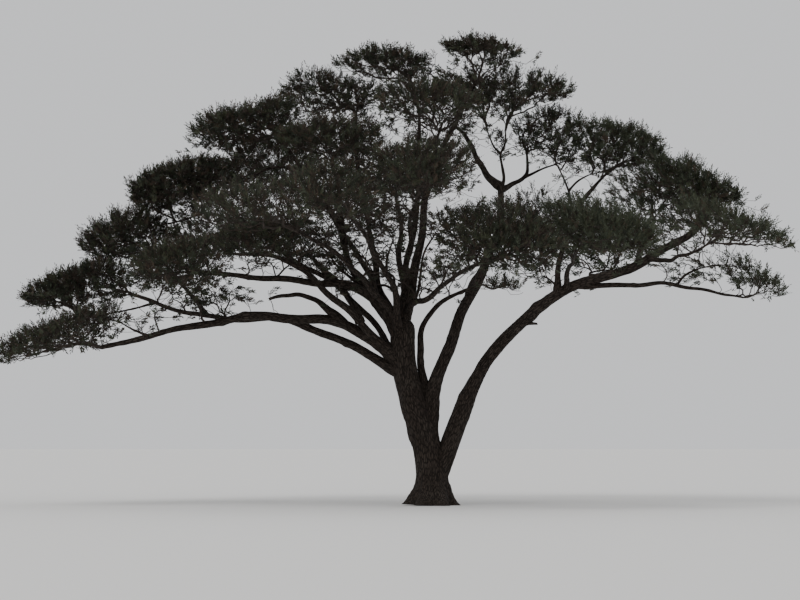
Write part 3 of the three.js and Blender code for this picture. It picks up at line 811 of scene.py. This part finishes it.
def leafy_space(plan):
    """A mass's space: an oval pad that slopes away from the crown's middle."""
    middle = np.array(plan["pad"], float)
    half = np.array(plan["half"], float)
    away = (middle[:2] - CROWN_MIDDLE) / CROWN_HALF
    return {"middle": middle, "half": half, "tilt": away * -CROWN_TILT, "away": away}


def slope(space, flat):
    """The height of a mass's sloping middle level over places on the ground."""
    return flat @ space["tilt"]


leafy = [plan for plan in plans.values() if plan["pad"]]
pads = np.array([plan["pad"] for plan in leafy], float)


def room(spots, own):
    """How far spots lie inside a mass's own space, between it and every other mass."""
    squash = np.array([1, 1, SQUASH])
    square = (((spots[:, None] - pads[None]) * squash) ** 2).sum(2)
    gaps = (pads - pads[own]) * [1, 1, SQUASH**2]
    steep = np.linalg.norm(gaps, axis=1)
    steep[own] = 1
    rooms = (square - square[:, own : own + 1]) / (2 * steep)
    rooms[:, own] = np.inf
    return rooms.min(axis=1)


def inside(spots, space, own, slack=0.0):
    """Whether spots lie in a mass's space and nearer to it than to any other."""
    gap = spots - space["middle"]
    level = np.abs(gap[:, 2] - slope(space, gap[:, :2])) / space["half"][2]
    flat = np.hypot(gap[:, 0] / space["half"][0], gap[:, 1] / space["half"][1])
    return (flat < RIM + slack) & (level < LEVELS) & (room(spots, own) > SPACE_MARGIN)


def sunflower(space, own, area, rng):
    """Places spread over a mass's ragged ground like the seeds of a sunflower, and how far
    out each one lies, from 0 in the middle to 1 at the rim."""
    a, b, _ = space["half"]
    count = round(math.pi * a * b / area)
    turns = rng.random() * 2 * math.pi + np.arange(count) * GOLDEN_ANGLE
    round_it = np.stack([np.cos(turns), np.sin(turns)], 1)
    out = np.sqrt((np.arange(count) + 0.5) / count)
    ragged = RAGGED * grain(np.column_stack([RAGGED_ROUND * round_it, 0 * out]), own)
    flat = round_it * [a - INSET, b - INSET] * (out * (1 + ragged))[:, None]
    return flat + rng.normal(0, SCATTER, flat.shape), out


def raised(space, flat, level):
    """Places on a mass's ground lifted to their levels, in halves of its height."""
    return space["middle"] + np.column_stack([flat, space["half"][2] * level + slope(space, flat)])


def arm_places(space, own, rng):
    """The places that the arms of a mass reach, low under it and rising outward."""
    flat, out = sunflower(space, own, ARM_AREA, rng)
    return raised(space, flat * ARM_REACH, ARM_LEVEL + ARM_RISE * out)


def twig_places(plan, space, own, rng):
    """The places where the twigs of a mass end, most of them close under its dome."""
    deep = DEPTHS.get(plan["name"], DEPTH_ELSE)
    flat, out = sunflower(space, own, TWIG_AREA * DEPTH_ELSE / deep, rng)
    bumps = BUMPS * grain(np.column_stack([flat * BUMPS_TO_A_METRE, 0 * out]), own)
    far = min(1, FAR * np.linalg.norm(space["away"]))
    inward = (1 - flat / space["half"][:2] @ unit(space["away"])) / 2
    body = (1 - far) * np.sqrt(1 - out**2) + far * inward
    thick = deep * (RIM_DEPTH + (1 - RIM_DEPTH) * body)
    depth = thick * (np.arange(len(out)) * GOLDEN_SHARE % 1) ** CROWDING
    fall = out**3 * (1 - far * inward)
    return raised(space, flat, TOP + DOME * (1 - fall) + bumps - depth)


def inner_places(plan, rng):
    """The ends of the small umbrellas of twigs that stand along a bough."""
    limb = limbs[plan["name"]]
    bare = BARE.get(plan["name"], BARE_ELSE)
    count = round(INNER_TO_A_METRE * limb["length"] * (1 - bare))
    spots, _, across, _ = frames(limb, rng.uniform(bare, INNER_LAST, count))
    middles = spots + across * rng.uniform(-INNER_ASIDE, INNER_ASIDE, (count, 1))
    middles = middles + UP * rng.uniform(*INNER_RISE, (count, 1))
    for *_, mass, corners in FORKS:
        if mass == plan["name"]:
            aside = rng.normal(0, TUFT_ASIDE, (FORK_TUFTS, 3))
            middles = np.concatenate([middles, np.array(corners[-1]) + UP * TUFT_RISE + aside])
    count = len(middles)
    middles = np.repeat(middles, rng.integers(*INNER_ENDS, count), axis=0)
    return middles + rng.normal(0, INNER_REACH, middles.shape) * INNER_FLAT


def first_wood(plan):
    """The spots on a bough and its forks that wood may grow from, the bough's end first."""
    limb = limbs[plan["name"]]
    bare = min(SIDE_FROM, BARE.get(plan["name"], BARE_ELSE))
    steps = np.arange(1.0, bare, -SIDE_STEP / limb["length"])
    spots, headings, _, _ = frames(limb, steps)
    way = SIDE_COST * (1 - steps) * limb["length"]
    for fork, *_, mass, _ in FORKS:
        if mass == plan["name"]:
            steps = np.arange(1.0, FORK_BARE, -SIDE_STEP / limbs[fork]["length"])
            fork_spots, fork_headings, _, _ = frames(limbs[fork], steps)
            spots = np.concatenate([spots, fork_spots])
            headings = np.concatenate([headings, fork_headings])
            way = np.concatenate([way, 0 * steps])
    joint = [-1] * len(way)
    return {"spot": list(spots), "heading": list(headings), "way": list(way), "joint": joint}


def crooked(start, heading, end, rng):
    """A crooked way between two spots that sets off along a heading and ends rising."""
    gap = np.linalg.norm(end - start)
    set_off = start + heading * (WOOD_SET_OFF * gap)
    corners = [start, set_off, end - UP * (WOOD_SAG * gap), end]
    pieces = max(2, math.ceil(gap / WOOD_PIECE))
    points = bezier(corners, np.linspace(0, 1, pieces + 1))
    points[1:-1] += rng.normal(0, WOOD_CROOK * gap / pieces, (pieces - 1, 3))
    return points[1:]


def grow_to(wood, places, balance, turn_cost, rng):
    """Joins each place in turn to the nearest wood, counting the gap, the turn that it
    takes and the way back to the bough. Gives the last spot of each new piece of wood."""
    waiting = np.ones(len(places), bool)
    best = np.full(len(places), np.inf)
    nearest = np.zeros(len(places), int)

    def offer(index):
        gap = places - wood["spot"][index]
        far = np.linalg.norm(gap, axis=1) + LEAST_GAP
        turned = (1 - gap @ wood["heading"][index] / far) / 2
        cost = far * (1 + turn_cost * turned) + balance * wood["way"][index]
        nearer = cost < best
        best[nearer] = cost[nearer]
        nearest[nearer] = index

    for index in range(len(wood["spot"])):
        offer(index)
    ends = []
    while waiting.any():
        place = int(np.argmin(np.where(waiting, best, np.inf)))
        waiting[place] = False
        before = int(nearest[place])
        for spot in crooked(wood["spot"][before], wood["heading"][before], places[place], rng):
            gap = spot - wood["spot"][before]
            step = np.linalg.norm(gap)
            wood["joint"].append(before)
            wood["way"].append(wood["way"][before] + step)
            wood["heading"].append(gap / step)
            wood["spot"].append(spot)
            before = len(wood["spot"]) - 1
            offer(before)
        ends.append(before)
    return ends


def wood_loads(wood, ends):
    """How many ends each spot of the wood carries."""
    load = np.zeros(len(wood["spot"]))
    load[ends] = 1
    for index in range(len(load) - 1, -1, -1):
        if wood["joint"][index] >= 0:
            load[wood["joint"][index]] += load[index]
    return load


def wood_chains(wood, load):
    """The wood that carries ends, as chains of spots. At a fork a chain goes on along the
    heaviest wood, and a new chain starts along each other."""
    heaviest = {}
    for index, before in enumerate(wood["joint"]):
        if before >= 0 and load[index] > load[heaviest.get(before, -1)] * (before in heaviest):
            heaviest[before] = index
    chains = []
    for index, before in enumerate(wood["joint"]):
        goes_on = heaviest.get(before) == index and wood["joint"][before] >= 0
        if before < 0 or load[index] == 0 or goes_on:
            continue
        chain = [before, index]
        while chain[-1] in heaviest:
            chain.append(heaviest[chain[-1]])
        chains.append(chain)
    return chains


def tube(points, radii, sides):
    """A thin closed tube through points, as vertices and triangles."""
    heading = unit(np.gradient(points, axis=0))
    across = unit(np.cross(heading, TWIG_SLANT))
    over = np.cross(across, heading)
    turns = np.arange(sides) * 2 * math.pi / sides
    ring = across[:, None] * np.cos(turns)[None, :, None]
    ring = ring + over[:, None] * np.sin(turns)[None, :, None]
    vertices = (points[:, None] + ring * radii[:, None, None]).reshape(-1, 3)
    here = np.arange(sides)
    there = (here + 1) % sides
    rows = np.arange(len(points) - 1)[:, None] * sides
    low, low_next = rows + here, rows + there
    high, high_next = low + sides, low_next + sides
    walls = [np.stack([low, high, low_next], -1), np.stack([low_next, high, high_next], -1)]
    fan = np.stack([np.zeros(sides - 2, int), here[1:-1], here[2:]], 1)
    faces = [wall.reshape(-1, 3) for wall in walls]
    faces += [fan, (len(points) - 1) * sides + fan[:, ::-1]]
    return vertices, np.concatenate(faces)


def joined(strips):
    """Many sets of vertices and triangles as one."""
    first = np.cumsum([0] + [len(vertices) for vertices, _ in strips])
    vertices = np.concatenate([vertices for vertices, _ in strips])
    faces = np.concatenate([faces + start for (_, faces), start in zip(strips, first)])
    return vertices, faces


def mesh_from(name, vertices, faces, slots=None):
    """Arrays of vertices and triangles as one mesh."""
    mesh = bpy.data.meshes.new(name)
    mesh.vertices.add(len(vertices))
    mesh.vertices.foreach_set("co", vertices.astype(np.float32).ravel())
    mesh.loops.add(3 * len(faces))
    mesh.loops.foreach_set("vertex_index", faces.astype(np.int32).ravel())
    mesh.polygons.add(len(faces))
    mesh.polygons.foreach_set("loop_start", np.arange(0, 3 * len(faces), 3, dtype=np.int32))
    if slots is not None:
        mesh.polygons.foreach_set("material_index", slots.astype(np.int32))
    mesh.update(calc_edges=True)
    return mesh


def grow_mass(plan, own, rng):
    """The wood of one mass: its tubes, and the last piece of each twig for the leaves."""
    space = leafy_space(plan)
    wood = first_wood(plan)
    arms = arm_places(space, own, rng)
    grow_to(wood, arms[inside(arms, space, own)], ARM_BALANCE, ARM_TURN_COST, rng)
    twigs = twig_places(plan, space, own, rng)
    ends = grow_to(wood, twigs[inside(twigs, space, own)], TWIG_BALANCE, TWIG_TURN_COST, rng)
    leafy_count = len(ends)
    ends += grow_to(wood, inner_places(plan, rng), TWIG_BALANCE, TWIG_TURN_COST, rng)
    load = wood_loads(wood, ends)
    spots = np.array(wood["spot"])
    thickest = THICKEST * limbs[plan["name"]]["radius"](np.ones(1), np.zeros(1))[0]
    radius = np.minimum(END_RADIUS * np.maximum(1, load) ** RADIUS_POWER, thickest)
    tubes = []
    for chain in wood_chains(wood, load):
        points = spots[chain]
        radii = radius[chain]
        radii[0] = radii[1]
        if chain[0] == 0:
            points = np.concatenate([[points[0] - wood["heading"][0] * SUNK], points])
            radii = np.concatenate([[thickest, thickest], radii[1:]])
        sides = next(count for least, count in TWIG_SIDES if radii[1] > least)
        tubes.append(tube(points, radii, sides))
    joints = np.array(wood["joint"])[ends]
    is_inner = np.arange(len(ends)) >= leafy_count
    return {"space": space, "own": own, "tubes": tubes, "ends": spots[ends],
            "joints": spots[joints], "is_inner": is_inner, "full": FULLNESS.get(plan["name"], 1)}


def twig_material():
    """Thin grey-brown bark, patchy in tone and rough."""
    values = {"Roughness": DULL, "Specular IOR Level": SHINE}
    material, tree, shader = new_material("twig_bark", values)
    place = node(tree, "TexCoord")
    patches = node(tree, "TexNoise", {"Scale": 14, "Detail": 3})
    tone = ramp(tree, TWIG_TONES)
    link_up(tree, [
        (place, "Object", patches, "Vector"),
        (patches, "Fac", tone, "Fac"),
        (tone, "Color", shader, "Base Color"),
    ])
    return material


twig_bark = twig_material()
masses = {}
for own, plan in enumerate(leafy):
    rng = np.random.default_rng(FIRST_SEED + own * SEED_STEP)
    masses[plan["name"]] = grow_mass(plan, own, rng)
masses_of = {family: [row[0] for row in rows if row[0] in masses]
             for family, rows in BOUGHS.items()}

for family, names in masses_of.items():
    tubes = joined([strip for name in names for strip in masses[name]["tubes"]])
    piece = object_from(mesh_from(f"twigs_{family}", *tubes), [twig_bark])
    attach(piece, "root")
    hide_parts(*[f"foliage_{name}" for name in names])

# The leaves. They are small and twice cut, like feathers, and stand close together on
# short shoots that point out and up. Each feather is a stalk with pointed lobes here.
SHOOTS_TO_AN_END = 3.6
# Low in a mass the shoots are fewer than at its top, and shorter.
LOW_SHARE = 0.45
INNER_SHARE = 0.55
LOW_LENGTH = 0.2
TOP_LENGTH = 0.48
SHOOT_SIZES = (0.45, 1.2)
# The shoots point outward, and further up the nearer they stand to their mass's top.
SHOOT_OUT = 0.7
SHOOT_UP = (0.15, 0.9)
SHOOT_SPREAD = 0.4
SHOOT_PAST = 0.02
STALK_RADIUS = 0.004
STALK_SLANT = (0.3, 0.2, 1)
STALK_ROLL = 0.6
LOBES_TO_A_SHOOT = 9
LOBE_LENGTH = 0.105
LOBE_WIDTH = 0.036
LOBE_WIDEST = 0.45
LOBE_FOLD = 0.35
LOBE_SIZES = (0.75, 1.2)
# The lobes stand from this share of their stalk on, and lean out from it.
FIRST_LOBE = 0.12
LOBE_LEAN = 0.8
LEAN_SIZES = (0.7, 0.6)
LOBE_RISE = 0.25
LOBE_ROLL = 0.4
# At a mass's top the lobes lie closer to their stalk, and are smaller and narrower.
TOP_LEAN = 0.5
TOP_LOBE = (0.8, 0.6)
LEAF_ROUGHNESS = 0.75
# The greens and browns, each with its share on the greener right and on the rest. The
# rest takes more of the deep green and the browns, as painted shade over that part of the
# crown; the few browns on the right are the leaves' own colour.
LEAF_COLOURS = {
    "leaf_olive": ((0.042, 0.047, 0.026), 0.35, 0.2),
    "leaf_grey_green": ((0.052, 0.062, 0.04), 0.4, 0.1),
    "leaf_deep": ((0.025, 0.03, 0.019), 0.15, 0.3),
    "leaf_brown": ((0.052, 0.038, 0.026), 0.07, 0.15),
    "leaf_dry_and_shade": ((0.03, 0.022, 0.017), 0.03, 0.25),
}


def lobe_mesh():
    """One lobe along +X: a kite folded along its middle."""
    wide = (LOBE_WIDEST * LOBE_LENGTH, LOBE_WIDTH / 2, LOBE_FOLD * LOBE_WIDTH / 2)
    vertices = [(0, 0, 0), (wide[0], -wide[1], wide[2]), (LOBE_LENGTH, 0, 0), wide]
    return np.array(vertices), np.array([(0, 1, 2), (0, 2, 3)])


def leafy_shoots(mass, rng):
    """The roots and tips of a mass's shoots, along the last piece of every twig, and how
    near each lies to the mass's top."""
    space = mass["space"]
    count = round(SHOOTS_TO_AN_END * mass["full"] * len(mass["ends"]))
    gap = mass["ends"] - space["middle"]
    level = np.clip((gap[:, 2] - slope(space, gap[:, :2])) / space["half"][2], -1, 1)
    weight = LOW_SHARE + (1 - LOW_SHARE) * np.clip(0.5 + level, 0, 1)
    weight[mass["is_inner"]] = INNER_SHARE * LOW_SHARE
    pick = rng.choice(len(weight), count, p=weight / weight.sum())
    part = rng.random(count)[:, None]
    roots = mass["joints"][pick] * (1 - part) + mass["ends"][pick] * part
    top = np.clip(0.5 + level[pick] / 2, 0, 1)[:, None]
    outward = gap[pick] / space["half"] * [1, 1, 0]
    upward = (SHOOT_UP[0] + SHOOT_UP[1] * top) * UP
    heading = unit(SHOOT_OUT * outward + upward + rng.normal(0, SHOOT_SPREAD, roots.shape))
    length = LOW_LENGTH + (TOP_LENGTH - LOW_LENGTH) * top**2
    tips = roots + heading * (length * rng.uniform(*SHOOT_SIZES, (count, 1)))
    is_inner = mass["is_inner"][pick]
    kept = inside(tips, space, mass["own"], SHOOT_PAST) | is_inner
    return roots[kept], tips[kept], (top * ~is_inner[:, None])[kept]


def lobe_frames(roots, tips, top, rng):
    """Where the lobes of shoots stand, on both sides in turn and one at the end, and their
    directions."""
    count = LOBES_TO_A_SHOOT
    shape = (len(roots), count)
    heading = unit(tips - roots)
    side = unit(np.cross(heading, UP + rng.normal(0, STALK_ROLL, heading.shape)))
    over = np.cross(side, heading)
    way = np.where(np.arange(count) % 2, 1, -1) * (np.arange(count) < count - 1)
    vary = LEAN_SIZES[0] + LEAN_SIZES[1] * rng.random(shape)
    lean = LOBE_LEAN * (1 + (TOP_LEAN - 1) * top) * way * vary
    shares = np.linspace(FIRST_LOBE, 1, count)[:, None]
    spots = roots[:, None] + (tips - roots)[:, None] * shares
    point = heading[:, None] * np.cos(lean)[..., None] + side[:, None] * np.sin(lean)[..., None]
    point = unit(point + over[:, None] * rng.normal(0, LOBE_RISE, shape)[..., None])
    face = over[:, None] + rng.normal(0, LOBE_ROLL, (*shape, 3))
    face = unit(face - point * (face * point).sum(-1, keepdims=True))
    turned = np.stack([point, np.cross(face, point), face], 2)
    return spots.reshape(-1, 3), turned.reshape(-1, 3, 3)


def stalk_arrays(roots, tips):
    """A thin three-sided spike from each root to each tip."""
    heading = unit(tips - roots)
    across = unit(np.cross(heading, STALK_SLANT))
    over = np.cross(across, heading)
    corners = [roots + STALK_RADIUS * (across * math.cos(turn) + over * math.sin(turn))
               for turn in (0, 2 * math.pi / 3, 4 * math.pi / 3)]
    vertices = np.stack([*corners, tips], 1).reshape(-1, 3)
    spike = np.array([(0, 1, 2), (1, 0, 3), (2, 1, 3), (0, 2, 3)])
    faces = np.arange(0, len(vertices), 4)[:, None, None] + spike
    return vertices, faces.reshape(-1, 3)


lobe_shape, lobe_faces = lobe_mesh()
leaf_materials = [plain(name, row[0], LEAF_ROUGHNESS) for name, row in LEAF_COLOURS.items()]
for family, names in masses_of.items():
    # The rest of the crown takes the darker, browner shares: painted shade.
    side = 1 if family == "right" else 2
    colour_shares = np.cumsum([row[side] for row in LEAF_COLOURS.values()])
    lobe_vertices = []
    lobe_slots = []
    stalks = []
    for name in names:
        rng = np.random.default_rng(FIRST_SEED + masses[name]["own"] * SEED_STEP + 1)
        roots, tips, top = leafy_shoots(masses[name], rng)
        colour = np.searchsorted(colour_shares, rng.random(len(roots)) * colour_shares[-1])
        spots, turned = lobe_frames(roots, tips, top, rng)
        size = 1 + (np.array(TOP_LOBE)[[0, 1, 1]] - 1) * np.repeat(top, LOBES_TO_A_SHOOT, 0)
        size = size * rng.uniform(*LOBE_SIZES, len(spots))[:, None]
        shapes = lobe_shape * size[:, None]
        lobe_vertices.append((spots[:, None] + shapes @ turned).reshape(-1, 3))
        lobe_slots.append(np.repeat(colour, LOBES_TO_A_SHOOT * len(lobe_faces)))
        stalks.append(stalk_arrays(roots, tips))
    vertices = np.concatenate(lobe_vertices)
    starts = np.arange(0, len(vertices), len(lobe_shape))
    faces = (starts[:, None, None] + lobe_faces).reshape(-1, 3)
    mesh = mesh_from(f"leaves_{family}", vertices, faces, np.concatenate(lobe_slots))
    piece = object_from(mesh, leaf_materials)
    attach(piece, "root")
    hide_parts(*[f"foliage_{name}" for name in names])
    piece = object_from(mesh_from(f"stalks_{family}", *joined(stalks)), [twig_bark])
    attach(piece, "root")
    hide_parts(*[f"foliage_{name}" for name in names])
